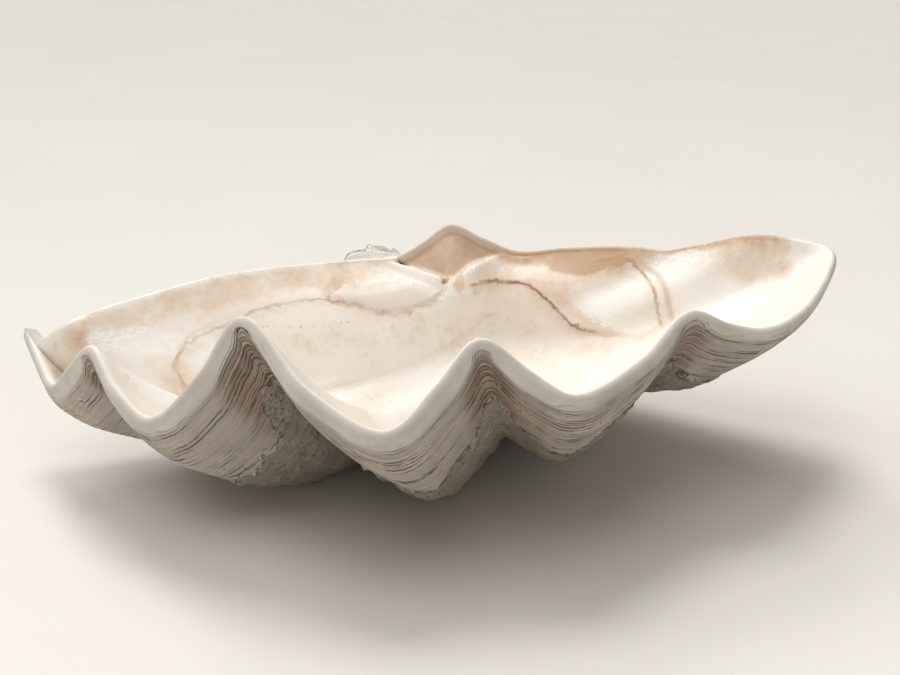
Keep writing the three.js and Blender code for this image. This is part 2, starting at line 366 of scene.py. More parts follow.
def keep_wall(inner, outer, shares):
    """Moves the inner face away from the outer face wherever the wall between them is too thin."""
    normals = grid_normals(outer)
    facing = np.argmin(outer[0][:, 1])
    if normals[len(outer) // 4, facing, 2] > 0:
        normals = -normals
    skin = outer[:-2].reshape(-1, 3)
    skin_normals = normals[:-2].reshape(-1, 3)
    tree = kdtree.KDTree(len(skin))
    for i, p in enumerate(skin):
        tree.insert(p, i)
    tree.balance()
    wall = np.interp(shares, *WALL)[:, None]
    for _ in range(WALL_PASSES):
        near = np.array([tree.find(p)[1] for p in inner.reshape(-1, 3)]).reshape(inner.shape[:2])
        depth = ((skin[near] - inner) * skin_normals[near]).sum(-1)
        push = -skin_normals[near] * np.clip(wall - depth, 0, None)[..., None]
        inner = inner + blur_around(blur_rows(push, WALL_BLUR[0]), WALL_BLUR[1])
    return inner


# ---------------------------------------------------------------- the base surface

def edge_line():
    return catmull_rom(VENTRAL_EDGE + RIGHT_EDGE + HINGE_EDGE + LEFT_EDGE, 40, True)


def choose_stations(edge):
    """Shares of the way round the edge, close together at the hinge and wide apart on either side of it."""
    hinge = smoothstep(72, 30, np.abs(edge[:, 0] - 40) * 0.6) * (edge[:, 1] > -60)
    free = hingeward(edge) < 0.02
    density = np.where(free, 1.0, 0.6) + 2 * hinge
    density = blur_ring(density[:, None], 12)[:, 0]
    run = np.concatenate([[0], np.cumsum(density)])
    return np.interp(np.linspace(0, run[-1], AROUND, endpoint=False), run, np.linspace(0, 1, EVEN + 1))


class Base:
    """The smooth shell: outer rings from the edge to the beak, lip rings, inner rings from the edge down."""

    def __init__(self):
        edge, length = even_ring(edge_line(), EVEN)
        spacing = length / EVEN
        sigma = FOLD_LENGTH / spacing
        inward, down = edge_frames(edge, spacing)
        spots = choose_stations(edge)
        read = lambda ring: at_stations(ring, spots)
        radius = LIP_RADIUS - (LIP_RADIUS - DORSAL_LIP_RADIUS) * smoothstep(0, 0.35, hingeward(edge))[:, None]
        radius = blur_ring(radius, 20)
        fold = edge - blur_ring(edge, sigma)
        steep = np.abs(np.gradient(blur_ring(fold, 8)[:, 2:], axis=0)) / spacing
        self.fold = read(fold)[:, 2]
        self.steep = read(steep)[:, 0]
        inner_shares = np.linspace(0, 1, INNER_RINGS) ** INNER_CROWDING
        outer_start = edge + radius * (inward + down)
        inner_start = edge + radius * (inward - down)
        outer_flat = blur_ring(outer_start, sigma)
        inner_flat = blur_ring(inner_start, sigma)
        outer_sides = read(side_shares(outer_flat, OUTER, SIDE_BLUR / spacing))
        inner_sides = read(side_shares(inner_flat, INNER, SIDE_BLUR / spacing))
        outer_shares = self.space_rings(read(outer_start), read(outer_flat), outer_sides)
        self.outer = grow(read(outer_start), read(outer_flat), OUTER, outer_shares, outer_sides)
        self.inner = grow(read(inner_start), read(inner_flat), INNER, inner_shares, inner_sides)
        self.inner = keep_wall(self.inner, self.outer, inner_shares)
        angles = np.linspace(0, math.pi, LIP_RINGS + 2)[1:-1]
        self.lip = np.array([
            read(edge + radius * ((1 - math.sin(a)) * inward + math.cos(a) * down)) for a in angles
        ])
        away = read(outer_flat) - np.array(OUTER["pole"], float)
        bearing = np.arctan2(away[:, 0], -away[:, 1])
        self.ray = RAY_RADIUS * np.stack([np.sin(bearing), np.cos(bearing)], 1)
        self.hingeward = hingeward(read(outer_flat))
        rings = np.concatenate([self.outer[::-1], self.lip, self.inner])
        normals = grid_normals(rings)
        if normals[-INNER_RINGS // 2, :, 2].mean() < 0:
            normals = -normals
        self.outer_normals = normals[:len(self.outer)][::-1]
        self.inner_normals = normals[-len(self.inner):]

    def space_rings(self, start, flat, sides):
        """Shares of growth at even steps over the outside: fine near the edge, coarse further back.

        self.distance is each ring's distance from the edge over the surface (mm), the free side's mean.
        """
        shares = np.linspace(0, LAST_SHARE, 160)
        trial = grow(start, flat, OUTER, shares, sides)
        free = hingeward(flat) < 0.02
        steps = np.linalg.norm(np.diff(trial, axis=0), axis=-1)[:, free].mean(1)
        run = np.concatenate([[0], np.cumsum(steps)])
        self.distance = np.concatenate([
            np.linspace(0, FINE_REACH, FINE_RINGS, endpoint=False),
            np.linspace(FINE_REACH, run[-1], COARSE_RINGS),
        ])
        return np.interp(self.distance, run, shares)


# ---------------------------------------------------------------- the outside: ledges, crust and pits

def ledge_places():
    """How far each growth ledge is from the first one, and how strong it is."""
    random = np.random.default_rng(11)
    places = [0.0]
    while places[-1] < LAST_LEDGE:
        gap = random.uniform(2.1, 3) if random.random() < 0.5 else random.uniform(3, 7)
        places.append(places[-1] + gap * (1 + places[-1] / 180))
    strength = random.uniform(0.2, 1, len(places))
    strength[::7] = 1.3
    return np.array(places), strength


def outside_relief(base):
    """Ledges, crust and pits: moves the outer rings, and gives the measures that its material needs."""
    points = base.outer
    distance = base.distance[:, None]
    crest = smoothstep(6, CREST_FOLD, base.fold)[None, :]
    rib = smoothstep(-2, -24, base.fold)[None, :]
    flank = smoothstep(0.2, 0.6, base.steep)[None, :]
    back = smoothstep(0.02, 0.3, base.hingeward)[None, :]
    wander = noise_at(points, 85, 1)
    drift = noise_at(points, 26, 2)

    band = LIP_BAND + FLANK_BAND * flank + 2.5 * wander + RIB_BAND * rib * (1 - flank) - 4 * crest
    growth_mm = distance - band * np.exp(-distance / 90) + 3 * wander * smoothstep(10, 60, distance)
    places, strength = ledge_places()
    growth = np.interp(growth_mm, places, np.arange(len(places)))
    growth = np.where(growth_mm < 0, growth_mm / 3, growth)
    line = np.clip(np.ceil(growth), 0, len(places) - 1).astype(int)
    patchy = smoothstep(-0.35, 0.35, noise_at(points + line[..., None] * 37.0, 70, 3))
    ledge = strength[line] * (0.25 + 0.75 * patchy) * (growth_mm > -1.5)
    ledge = ledge * (1 + 0.35 * crest - 0.5 * flank * (1 - crest) * smoothstep(95, 60, distance))

    start = 90 - 38 * crest + 12 * rib + 12 * wander + 8 * drift + 7 * noise_at(points, 9, 4)
    start = start - 60 * back
    past_start = distance - start
    crust = smoothstep(-1.5, 1.5, past_start)
    coarse = noise_at(points, 15, 5, 3)
    pits = smoothstep(0.25, 0.6, noise_at(points, 7, 6)) * (0.35 + 0.65 * smoothstep(0, 0.4, drift))
    ledge = ledge * (1 - 0.62 * crust)

    behind = (line - growth) * (places[line] - places[np.maximum(line - 1, 0)])
    height = -LEDGE_DEPTH * ledge * np.exp(-behind / LEDGE_TAPER)
    height += crust * (2.4 + 3.0 * coarse + 1.6 * noise_at(points, 6, 7) - 3.2 * pits)
    height += 1.6 * wander * smoothstep(20, 80, distance) + 0.5 * drift * smoothstep(8, 30, distance)
    height *= smoothstep(1, 9, distance)
    moved = points + base.outer_normals * height[..., None]

    heap, heap_amount = hinge_crust(points)
    measures = dict(
        growth=growth, ledge=ledge * (1 - heap_amount), pits=pits * crust,
        crust=np.clip(past_start, -CRUST_SPAN, CRUST_SPAN),
        crest=smoothstep(2, 20, base.fold)[None, :] * (distance < CREST_REACH),
        heap=heap_amount, band=smoothstep(4, -1, growth_mm) * np.ones_like(growth),
    )
    return moved + heap, measures


def hinge_crust(points):
    """The heap of white crust behind the hinge line, left of the peak."""
    x = points[..., 0]
    from_rim = np.linalg.norm(points - points[:1], axis=-1)
    amount = smoothstep(-74, -54, x) * smoothstep(6, -10, x)
    amount = amount * smoothstep(0, 12, from_rim) * smoothstep(44, 24, from_rim) * (points[:1, :, 1] > -60)
    lumps = 0.95 + 0.24 * noise_at(points, 14, 31, 2) + 0.14 * noise_at(points, 5, 32)
    way = np.array([0.0, 0.74, 0.67])
    return CRUST_HEAP * (amount * lumps)[..., None] * way, amount


# ---------------------------------------------------------------- the inside: hinge, callus and marks

def inside_relief(base):
    """The hinge, the callus and the marks: moves the inner rings, and gives what its material needs."""
    points = base.inner
    flat = points[..., :2]
    undulation = 0.9 * noise_at(points, 62, 21) + 0.25 * noise_at(points, 19, 22)

    callus = region(flat, CALLUS_LEFT)
    pallial, right, scar_inner, scar_outer, fringe, left_arc, plate, crack, dots = (
        signed_distance(flat, nodes) for nodes in MARKS.values())
    near = lambda nodes: nearness(flat, [nodes])
    face = hinge_face(flat, plate)

    height = undulation
    rim = np.linalg.norm(points - points[:1], axis=-1)
    height += 1.6 * smoothstep(1.2, -1.2, callus) * smoothstep(40, 74, rim + 8 * noise_at(points, 20, 25))
    height += (2.4 * smoothstep(-1.4, 1.4, right) * smoothstep(34, 4, np.abs(right))
               * near_wide(flat, CALLUS_RIGHT))
    height += 0.9 * smoothstep(-1.5, 1.5, pallial) * near(PALLIAL_LINE)
    height += 0.8 * smoothstep(4, 0, np.abs(scar_inner)) * near(SCAR_INNER)
    height += 0.6 * smoothstep(4, 0, np.abs(scar_outer)) * near(SCAR_OUTER)
    height -= 3.2 * face
    height += 2.6 * smoothstep(1.2, -1.2, plate) * smoothstep(16, 3, np.abs(plate)) * near(PLATE)
    height += 3.6 * spot(flat, (60, -39), (9, 5.5), 30) * (1 + 0.35 * np.sin(flat[..., 0] * 1.9))
    height += 1.4 * spot(flat, (53, -45), (8, 4), -20)
    height += 2.4 * spot(flat, (30, -48), (15, 4.5), 5) * (0.5 + noise_at(points, 5, 23))
    height -= 3.0 * spot(flat, (34, -37), (4.5, 3), 20) + 2.6 * spot(flat, (66, -48), (6, 3), 10)
    slot = spot(flat, (-6, -6), (10, 2.4), -30)
    height -= 5.0 * slot
    height *= smoothstep(0.4, 4, rim)
    height *= 1 - 0.6 * smoothstep(0.55, 0.9, np.linspace(0, 1, len(points)))[:, None]
    moved = points + base.inner_normals * height[..., None]
    measures = dict(
        tan=strokes(flat, TAN), white=strokes(flat, WHITE), face=face,
        deep=slot, pit=spot(flat, (34, -37), (6, 4), 20),
        ochre=spot(flat, (47, -42), (9, 7), 60),
        callus=callus, right=right, pallial=pallial, scar_inner=scar_inner, scar_outer=scar_outer,
        fringe=fringe, left_arc=left_arc, plate=plate, crack=crack, dots=dots,
    )
    for name, nodes in MARKS.items():
        measures[name + "_ink"] = nearness(flat, [nodes])
    return moved, measures


def hinge_face(flat, above):
    """1 on the hollow tan face under the peak of the hinge, 0 off it."""
    return smoothstep(-1, 5, above) * smoothstep(-14, -3, flat[..., 0]) * smoothstep(126, 108, flat[..., 0])


def near_wide(flat, nodes):
    return smoothstep(40, 25, nearest(flat, dense_curve(nodes))[0])


def dense_curve(nodes):
    return catmull_rom(np.array([(x, y, 0) for x, y in nodes]), 14, False)[:, :2]


def nearest(flat, curve):
    """Distance to the nearest point of a dense curve, and that point's number."""
    wide = flat.reshape(-1, 2)
    near = np.empty(len(wide), int)
    for start in range(0, len(wide), 4000):
        part = wide[start:start + 4000]
        gaps = ((part[:, None] - curve[None]) ** 2).sum(-1)
        near[start:start + 4000] = gaps.argmin(1)
    away = np.linalg.norm(wide - curve[near], axis=1)
    return away.reshape(flat.shape[:-1]), near.reshape(flat.shape[:-1])


def signed_distance(flat, nodes):
    """Distance in mm from a curve that runs on straight past its ends, positive towards the hinge."""
    curve = dense_curve(nodes)
    start = curve[0] + unit(curve[0] - curve[3]) * EXTENSION * np.linspace(1, 0.02, 30)[:, None]
    end = curve[-1] + unit(curve[-1] - curve[-4]) * EXTENSION * np.linspace(0.02, 1, 30)[:, None]
    curve = np.vstack([start, curve, end])
    away, near = nearest(flat, curve)
    way = unit(np.gradient(curve, axis=0))
    offset = flat - curve[near]
    side = way[near][..., 0] * offset[..., 1] - way[near][..., 1] * offset[..., 0]
    if nodes[0][0] > nodes[-1][0]:
        side = -side
    return np.where(side >= 0, away, -away)


def nearness(flat, curves):
    """1 near any of the curves, 0 well away from all of them."""
    away = np.min([nearest(flat, dense_curve(nodes))[0] for nodes in curves], axis=0)
    return smoothstep(15, 5, away)


def region(flat, nodes):
    """Distance in mm from the outline of a region, negative inside it."""
    outline = catmull_rom(np.array([(x, y, 0) for x, y in nodes]), 10, True)[:, :2]
    away, _ = nearest(flat, outline)
    inside = np.zeros(flat.shape[:-1], bool)
    for a, b in zip(outline, np.roll(outline, -1, 0)):
        crosses = (a[1] > flat[..., 1]) != (b[1] > flat[..., 1])
        rise = b[1] - a[1] if b[1] != a[1] else 1e-9
        inside ^= crosses & (flat[..., 0] < a[0] + (flat[..., 1] - a[1]) / rise * (b[0] - a[0]))
    return np.where(inside, -away, away)


def strokes(flat, marks):
    """How much of a set of soft brush strokes covers each point, from 0 to about 1."""
    cover = np.zeros(flat.shape[:-1])
    for nodes, width, strength in marks:
        away, _ = nearest(flat, dense_curve(nodes))
        cover = np.maximum(cover, strength * smoothstep(1.5 * width, 0.25 * width, away))
    return cover


def spot(flat, centre, radii, degrees):
    """A round-topped oval bump, 1 at its middle."""
    turn = degrees * DEG
    x = flat[..., 0] - centre[0]
    y = flat[..., 1] - centre[1]
    along = (x * math.cos(turn) + y * math.sin(turn)) / radii[0]
    across = (y * math.cos(turn) - x * math.sin(turn)) / radii[1]
    return smoothstep(1.25, 0.35, np.hypot(along, across))


# ---------------------------------------------------------------- the piece


def to_rest(points):
    """From the shell's own frame, in mm, to the way it lies, in metres."""
    roll = np.array(Matrix.Rotation(-ROLL, 3, "Y"))
    pitch = np.array(Matrix.Rotation(-PITCH, 3, "X"))
    return points @ (pitch @ roll).T * MM


def stack(outer, lip, inner):
    return np.concatenate([outer[::-1], lip, inner])


def make_valve(base):
    """The shell as one closed mesh, with the measures that its material reads as attributes."""
    outer, outside = outside_relief(base)
    inner, inside = inside_relief(base)
    lip = base.lip + 0.35 * noise_at(base.lip, 16, 41)[..., None] * np.array([0, 0, 1.0])
    smooth = to_rest(stack(base.outer, base.lip, base.inner).reshape(-1, 3))
    low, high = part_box("valve")
    middle = (smooth.min(0) + smooth.max(0)) / 2
    shift = np.array([(low.x + high.x) / 2 - middle[0], (low.y + high.y) / 2 - middle[1],
                      low.z - WORN * MM - smooth[:, 2].min()])
    rings = stack(outer, lip, inner)
    rows, count = rings.shape[:2]
    flat = to_rest(rings.reshape(-1, 3)) + shift
    flat[:, 2] = np.maximum(flat[:, 2], low.z)
    caps = np.array([flat[:count].mean(0), flat[-count:].mean(0)])
    i = np.arange(count)
    j = (i + 1) % count
    starts = (np.arange(rows - 1) * count)[:, None]
    quads = np.stack([starts + i, starts + j, starts + count + j, starts + count + i], -1).reshape(-1, 4)
    last = (rows - 1) * count
    caps_faces = np.vstack([
        np.stack([np.full(count, rows * count), j, i], 1),
        np.stack([np.full(count, rows * count + 1), last + i, last + j], 1),
    ])
    mesh = bpy.data.meshes.new("clam_valve")
    mesh.from_pydata(np.vstack([flat, caps]).tolist(), [], quads.tolist() + caps_faces.tolist())
    mesh.polygons.foreach_set("use_smooth", [True] * len(mesh.polygons))
    mesh.update()

    def store(name, outer_values, lip_value, inner_values):
        spread = lambda part, value: value if np.ndim(value) == 2 else np.full(part.shape[:2], float(value))
        values = stack(spread(outer, outer_values), spread(lip, lip_value), spread(inner, inner_values))
        values = np.concatenate([values.reshape(-1), [values[0].mean(), values[-1].mean()]])
        mesh.attributes.new(name, "FLOAT", "POINT").data.foreach_set("value", values.astype(np.float32))

    lip_share = np.linspace(0, 1, len(lip) + 2)[1:-1][:, None] * np.ones(count)
    store("turned", 0, lip_share + 0.7 * smoothstep(0.05, 0.3, base.hingeward), 1)
    store("growth", outside["growth"], -1, -1)
    store("crust", outside["crust"], -30, -30)
    for name in ("ledge", "pits", "crest"):
        store(name, outside[name], 0, 0)
    store("band", outside["band"], 1, 0)
    store("heap", outside["heap"], 0, 0)
    along_lip = np.ones((len(lip), 1))
    for name in ("tan", "ochre"):
        store(name, 0, inside[name][0] * along_lip, inside[name])
    for name in ("white", "deep", "pit"):
        store(name, 0, 0, inside[name])
    for name in MARKS:
        store(name + "_ink", 0, 0, inside[name + "_ink"])
    store("face", 0, inside["face"][0] * np.ones((len(lip), 1)), inside["face"])
    for name in ("callus", *MARKS):
        store(name, FAR, FAR, inside[name])
    store("rim", 0, 0, np.linalg.norm(base.inner - base.inner[:1], axis=-1))
    for axis, name in enumerate(("ray_x", "ray_y")):
        along = base.ray[:, axis]
        store(name, along * np.ones((len(outer), 1)), along * np.ones((len(lip), 1)),
              along * np.ones((len(inner), 1)))
    valve = bpy.data.objects.new("clam_valve", mesh)
    bpy.context.scene.collection.objects.link(valve)
    return valve


# ---------------------------------------------------------------- its material


class Graph:
    """Short ways to add shader nodes."""

    def __init__(self, name):
        self.material = bpy.data.materials.new(name)
        self.material.use_nodes = True
        self.tree = self.material.node_tree
        self.shader = self.tree.nodes["Principled BSDF"]

    def plug(self, socket, value):
        if isinstance(value, bpy.types.NodeSocket):
            self.tree.links.new(value, socket)
        else:
            socket.default_value = value

    def attribute(self, name):
        node = self.tree.nodes.new("ShaderNodeAttribute")
        node.attribute_name = name
        return node.outputs["Fac"]

    def math(self, operation, a, b=0.0, c=0.0):
        node = self.tree.nodes.new("ShaderNodeMath")
        node.operation = operation
        for socket, value in zip(node.inputs, (a, b, c)):
            self.plug(socket, value)
        return node.outputs[0]

    def add(self, *terms):
        total = terms[0]
        for term in terms[1:]:
            total = self.math("ADD", total, term)
        return total

    def times(self, *terms):
        total = terms[0]
        for term in terms[1:]:
            total = self.math("MULTIPLY", total, term)
        return total

    def most(self, *terms):
        total = terms[0]
        for term in terms[1:]:
            total = self.math("MAXIMUM", total, term)
        return total

    def step(self, low, high, value):
        """0 at low, 1 at high, smooth between. High may be below low."""
        node = self.tree.nodes.new("ShaderNodeMapRange")
        node.interpolation_type = "SMOOTHSTEP"
        self.plug(node.inputs["Value"], value)
        if high > low:
            self.plug(node.inputs["From Min"], low)
            self.plug(node.inputs["From Max"], high)
            return node.outputs["Result"]
        self.plug(node.inputs["From Min"], high)
        self.plug(node.inputs["From Max"], low)
        self.plug(node.inputs["To Min"], 1.0)
        self.plug(node.inputs["To Max"], 0.0)
        return node.outputs["Result"]

    def line(self, distance, width, soft):
        """1 within `width` mm of a curve."""
        return self.step(width + soft, width, self.math("ABSOLUTE", distance))

    def vector(self, x, y, z):
        node = self.tree.nodes.new("ShaderNodeCombineXYZ")
        for socket, value in zip(node.inputs, (x, y, z)):
            self.plug(socket, value)
        return node.outputs[0]

    def position(self):
        """The place on the object, in mm."""
        node = self.tree.nodes.new("ShaderNodeTexCoord")
        scale = self.tree.nodes.new("ShaderNodeVectorMath")
        scale.operation = "SCALE"
        self.plug(scale.inputs[0], node.outputs["Object"])
        scale.inputs["Scale"].default_value = 1 / MM
        return scale.outputs[0]

    def noise(self, where, size, detail=2.0, rough=0.55):
        """Noise from about -1 to 1 with features about `size` mm across."""
        node = self.tree.nodes.new("ShaderNodeTexNoise")
        self.plug(node.inputs["Vector"], where)
        node.inputs["Scale"].default_value = 1 / size
        node.inputs["Detail"].default_value = detail
        node.inputs["Roughness"].default_value = rough
        return self.math("MULTIPLY_ADD", node.outputs["Fac"], 4.0, -2.0)

    def mix(self, share, a, b):
        node = self.tree.nodes.new("ShaderNodeMix")
        node.data_type = "RGBA"
        sockets = [s for s in node.inputs if s.type == "RGBA"]
        self.plug(node.inputs["Factor"], share)
        self.plug(sockets[0], a)
        self.plug(sockets[1], b)
        return next(s for s in node.outputs if s.type == "RGBA")

    def bump(self, height, distance, strength=1.0, normal=None):
        node = self.tree.nodes.new("ShaderNodeBump")
        node.inputs["Distance"].default_value = distance
        node.inputs["Strength"].default_value = strength
        self.plug(node.inputs["Height"], height)
        if normal is not None:
            self.plug(node.inputs["Normal"], normal)
        return node.outputs[0]


def outside_look(g, place, streaks):
    """Colour and height of the chalky outside."""
    growth = g.attribute("growth")
    heap = g.step(0.03, 0.3, g.attribute("heap"))
    crest = g.attribute("crest")
    blotch = g.noise(place, 38, 4.0)
    fine = g.noise(place, 3.2, 4.0, 0.7)
    grit = g.noise(place, 1.3, 3.0, 0.7)
    lumps = g.noise(place, 9, 3.0, 0.6)
    streak = g.noise(streaks, 13, 4.0, 0.6)
    crust_edge = g.add(g.attribute("crust"), g.times(5.0, lumps), g.times(2.0, fine))
    crust = g.step(-0.8, 0.8, crust_edge)
    bare = g.math("SUBTRACT", 1.0, g.most(crust, heap))
    growth = g.add(growth, g.times(0.12, lumps))
    phase = g.math("FRACT", growth)
    broken = g.step(-0.75, 0.25, g.noise(place, 24))
    # The dark line under each growth ledge: painted shade under the ledge, with brown dirt in the crevice
    crevice = g.times(g.step(0.5, 0.95, phase), g.step(0.14, 0.55, g.attribute("ledge")), broken)
    rows = g.vector(growth, g.times(0.05, g.noise(place, 40)), 0.0)
    hairs = g.noise(rows, 0.4, 3.0, 0.7)
    layered = g.times(g.step(-0.6, 0.8, growth), bare)
    past_band = g.step(0.2, 3.0, growth)

    chalk = g.mix(g.step(-0.6, 0.9, blotch), OUTER_GREY, OUTER_CREAM)
    chalk = g.mix(g.times(0.6, g.step(0.0, 1.2, streak), g.step(1.0, 6.0, growth)), chalk, OUTER_TINT)
    chalk = g.mix(g.times(0.65, layered, g.step(0.0, 0.9, hairs)), chalk, OUTER_TINT)
    folded = g.times(layered, crest, past_band)
    chalk = g.mix(g.times(0.9, folded, g.step(-0.7, 0.5, hairs)), chalk, CREST_BROWN)
    chalk = g.mix(g.times(0.6, crust, g.step(-0.3, 0.8, g.add(g.times(0.6, fine), g.times(0.7, blotch)))),
                  chalk, OUTER_DIRT)
    chalk = g.mix(g.times(0.65, crust, g.step(0.0, 0.9, g.add(g.times(0.7, grit), g.times(0.6, lumps)))),
                  chalk, OUTER_PALE)
    chalk = g.mix(g.times(0.45, crust, g.step(-0.1, 1.0, g.noise(streaks, 5, 4.0, 0.6))), chalk, OUTER_TINT)
    chalk = g.mix(g.times(0.35, layered, g.step(0.3, 1.0, fine)), chalk, OUTER_DIRT)
    # Pits, holes, specks and a line along the crust's edge, darkened below: painted shade in the hollows and
    # under the crust's edge, with brown dirt and brown specks
    pits = g.times(g.attribute("pits"), crust, g.step(-0.3, 0.4, g.noise(place, 5)))
    holes = g.times(crust, g.step(0.62, 0.85, g.noise(place, 3.0, 1.0)), g.step(-0.5, 0.5, blotch))
    specks = g.times(
        g.step(0.7, 0.95, g.noise(place, 4.4, 1.0)), g.step(-0.1, 0.7, blotch), g.step(2.0, 5.0, growth),
    )
    undercut = g.times(0.8, g.line(crust_edge, 0.4, 1.5), g.step(-0.3, 0.5, g.noise(place, 14)))
    hollow = g.most(pits, holes, specks, undercut)
    # Painted shade and brown dirt in the hollows
    chalk = g.mix(g.times(0.75, hollow), chalk, CREVICE_SHADE_AND_DIRT)
    # Painted shade and brown dirt in the ledge crevices
    chalk = g.mix(g.times(0.92, crevice, g.add(0.3, g.times(0.7, bare))), chalk, CREVICE_SHADE_AND_DIRT)
    lip = g.mix(g.step(-0.8, 0.8, g.add(g.times(0.7, blotch), g.times(0.5, streak))), LIP_GREY, LIP_PALE)
    chalk = g.mix(g.times(0.85, g.attribute("band")), chalk, lip)
    heap_colour = g.mix(g.times(0.6, g.step(0.9, 1.4, g.noise(place, 6, 4.0, 0.7))), HEAP_WHITE, OUTER_TINT)
    chalk = g.mix(heap, chalk, heap_colour)
    rough_crust = g.times(crust, g.add(g.times(1.0, fine), g.times(0.5, grit), g.times(0.9, lumps)))
    height = g.add(
        g.times(-1.2, crevice), g.times(0.35, layered, hairs), rough_crust, g.times(1.6, crust),
        g.times(-1.8, hollow), g.times(0.12, fine, g.step(-1.0, 1.0, growth)), g.times(0.9, heap, fine))
    return chalk, height


def inside_look(g, place, streaks):
    """Colour and height of the porcelain inside."""
    ragged = g.add(g.times(2.4, g.noise(place, 11, 3.0)), g.times(1.3, g.noise(place, 3.4, 3.0)))
    fuzz = g.noise(place, 7, 4.0, 0.65)
    fringe_noise = g.noise(streaks, 2.6, 3.0, 0.7)
    wash = g.noise(place, 75, 3.0)
    broad = g.noise(place, 30, 5.0, 0.6)
    read = lambda name, share=1.0: g.add(g.attribute(name), g.times(share, ragged))
    rim = g.attribute("rim")
    face = g.attribute("face")
    wear = g.add(0.4, g.times(0.6, g.step(-0.9, 0.7, g.noise(place, 17, 3.0))))
    ink = {name: g.attribute(name + "_ink") for name in MARKS}
    worn = {name: g.times(near, wear) for name, near in ink.items()}

    colour = g.mix(g.step(-0.7, 0.8, wash), PORCELAIN_WARM, PORCELAIN)
    white = g.step(0.3, 0.85, g.add(g.attribute("white"), g.times(0.32, broad), g.times(0.2, fuzz)))
    tan_raw = g.add(g.attribute("tan"), g.times(0.36, broad), g.times(0.19, fuzz))
    colour = g.mix(g.times(0.85, g.step(0.26, 0.98, tan_raw)), colour, TAN_SOFT)
    colour = g.mix(g.times(0.85, g.step(0.85, 1.5, tan_raw)), colour, TAN_DEEP)
    colour = g.mix(g.times(0.9, white), colour, PORCELAIN_WHITE)

    pallial = read("pallial", 0.8)
    below = g.times(ink["pallial"], g.step(0.5, -1.0, pallial), g.step(-16.0, -2.0, pallial))
    colour = g.mix(g.times(0.7, below, g.step(-0.5, 0.8, fringe_noise)), colour, TAN_SOFT)
    colour = g.mix(g.times(0.55, worn["pallial"], g.line(pallial, 0.2, 1.8)), colour, LINE_TAN)

    callus = read("callus", 0.9)
    lower = g.step(34.0, 66.0, g.add(rim, g.times(15.0, broad), g.times(8.0, fuzz)))
    colour = g.mix(g.times(0.9, g.step(0.6, -0.6, callus), lower), colour, CALLUS_WHITE)
    # Just below the callus's lower edge: a tan line, partly brown stain and partly painted shadow under the
    # edge's overhang
    under = g.times(g.step(0.2, 1.0, callus), g.step(5.0, 1.0, callus), g.step(38.0, 52.0, rim))
    colour = g.mix(g.times(0.75, under, g.step(-0.9, 0.7, g.noise(place, 13, 3.0))), colour, LINE_TAN)

    right = read("right", 0.6)
    # Below the right callus's overhanging lower edge: a soft tan band that is painted shadow, and at the edge
    # a brown line that is partly stain and partly painted shade
    below = g.times(ink["right"], g.step(1.0, -0.6, right), g.step(-11.0, -1.0, right))
    colour = g.mix(g.times(0.5, below), colour, TAN_SOFT)
    colour = g.mix(g.times(0.9, worn["right"], g.line(right, 0.3, 1.1)), colour, LINE_BROWN)
    fringe = g.add(g.attribute("fringe"), g.times(3.2, fringe_noise), ragged)
    colour = g.mix(g.times(0.65, ink["fringe"], g.line(fringe, 1.2, 3.5)), colour, TAN_SOFT)
    inner_scar = g.add(read("scar_inner", 0.3), g.times(1.4, fringe_noise))
    colour = g.mix(g.times(0.9, worn["scar_inner"], g.line(inner_scar, 0.5, 1.8)), colour, LINE_TAN)
    outer_scar = g.line(read("scar_outer", 0.3), 0.5, 4.0)
    colour = g.mix(g.times(0.45, ink["scar_outer"], outer_scar), colour, TAN_DEEP)
    colour = g.mix(g.times(0.35, worn["left_arc"], g.line(read("left_arc", 0.6), 0.4, 2.6)), colour, TAN_DEEP)
    colour = g.mix(g.times(0.45, worn["crack"], g.line(read("crack", 0.3), 0.1, 0.8)), colour, LINE_TAN)
    dots = g.times(
        ink["dots"], g.line(g.attribute("dots"), 0.5, 1.6), g.step(0.4, 0.7, g.noise(place, 3.4, 1.0)),
    )
    colour = g.mix(g.times(0.55, dots), colour, LINE_BROWN)
    ochre = g.step(0.1, 1.1, g.add(g.attribute("ochre"), g.times(0.6, fuzz)))
    colour = g.mix(g.times(0.65, ochre), colour, OCHRE)
    pit = g.step(0.3, 0.9, g.add(g.attribute("pit"), g.times(0.3, fuzz)))
    colour = g.mix(g.times(0.85, pit), colour, LINE_BROWN)

    grain = g.noise(streaks, 2.2, 4.0, 0.65)
    face_tone = g.add(g.times(0.3, grain), g.times(0.9, broad), g.times(0.3, fuzz))
    face_colour = g.mix(g.step(-0.9, 1.0, face_tone), FACE_TAN, FACE_LIGHT)
    colour = g.mix(face, colour, face_colour)
    colour = g.mix(g.times(0.6, worn["plate"], g.line(read("plate", 0.5), 0.4, 1.5)), colour, LINE_TAN)
    # The slot at the hinge: painted shade in the recess, in the darkest brown
    colour = g.mix(g.times(0.9, g.step(0.2, 0.75, g.attribute("deep"))), colour, CREVICE_SHADE_AND_DIRT)
    clean = g.times(g.step(0.6, 0.2, face), g.step(1.0, 0.6, tan_raw))
    edge = g.step(5.0, 1.0, g.add(rim, g.times(0.8, fuzz)))
    colour = g.mix(g.times(edge, g.most(g.times(0.85, clean), g.times(0.35, face))), colour, PORCELAIN_RIM)
    height = g.add(
        g.times(0.5, lower, g.step(0.6, -0.6, callus)), g.times(0.5, ink["right"], g.step(-0.8, 0.8, right)),
        g.times(-0.6, ink["right"], g.line(right, 0.5, 1.0)), g.times(0.06, fringe_noise),
        g.times(0.2, broad), g.times(0.07, fuzz), g.times(0.2, face, grain),
        g.times(-0.3, ink["scar_inner"], g.line(inner_scar, 0.8, 1.6)),
        g.times(0.8, g.attribute("white"), g.step(60.0, 20.0, rim), fuzz))
    return colour, height


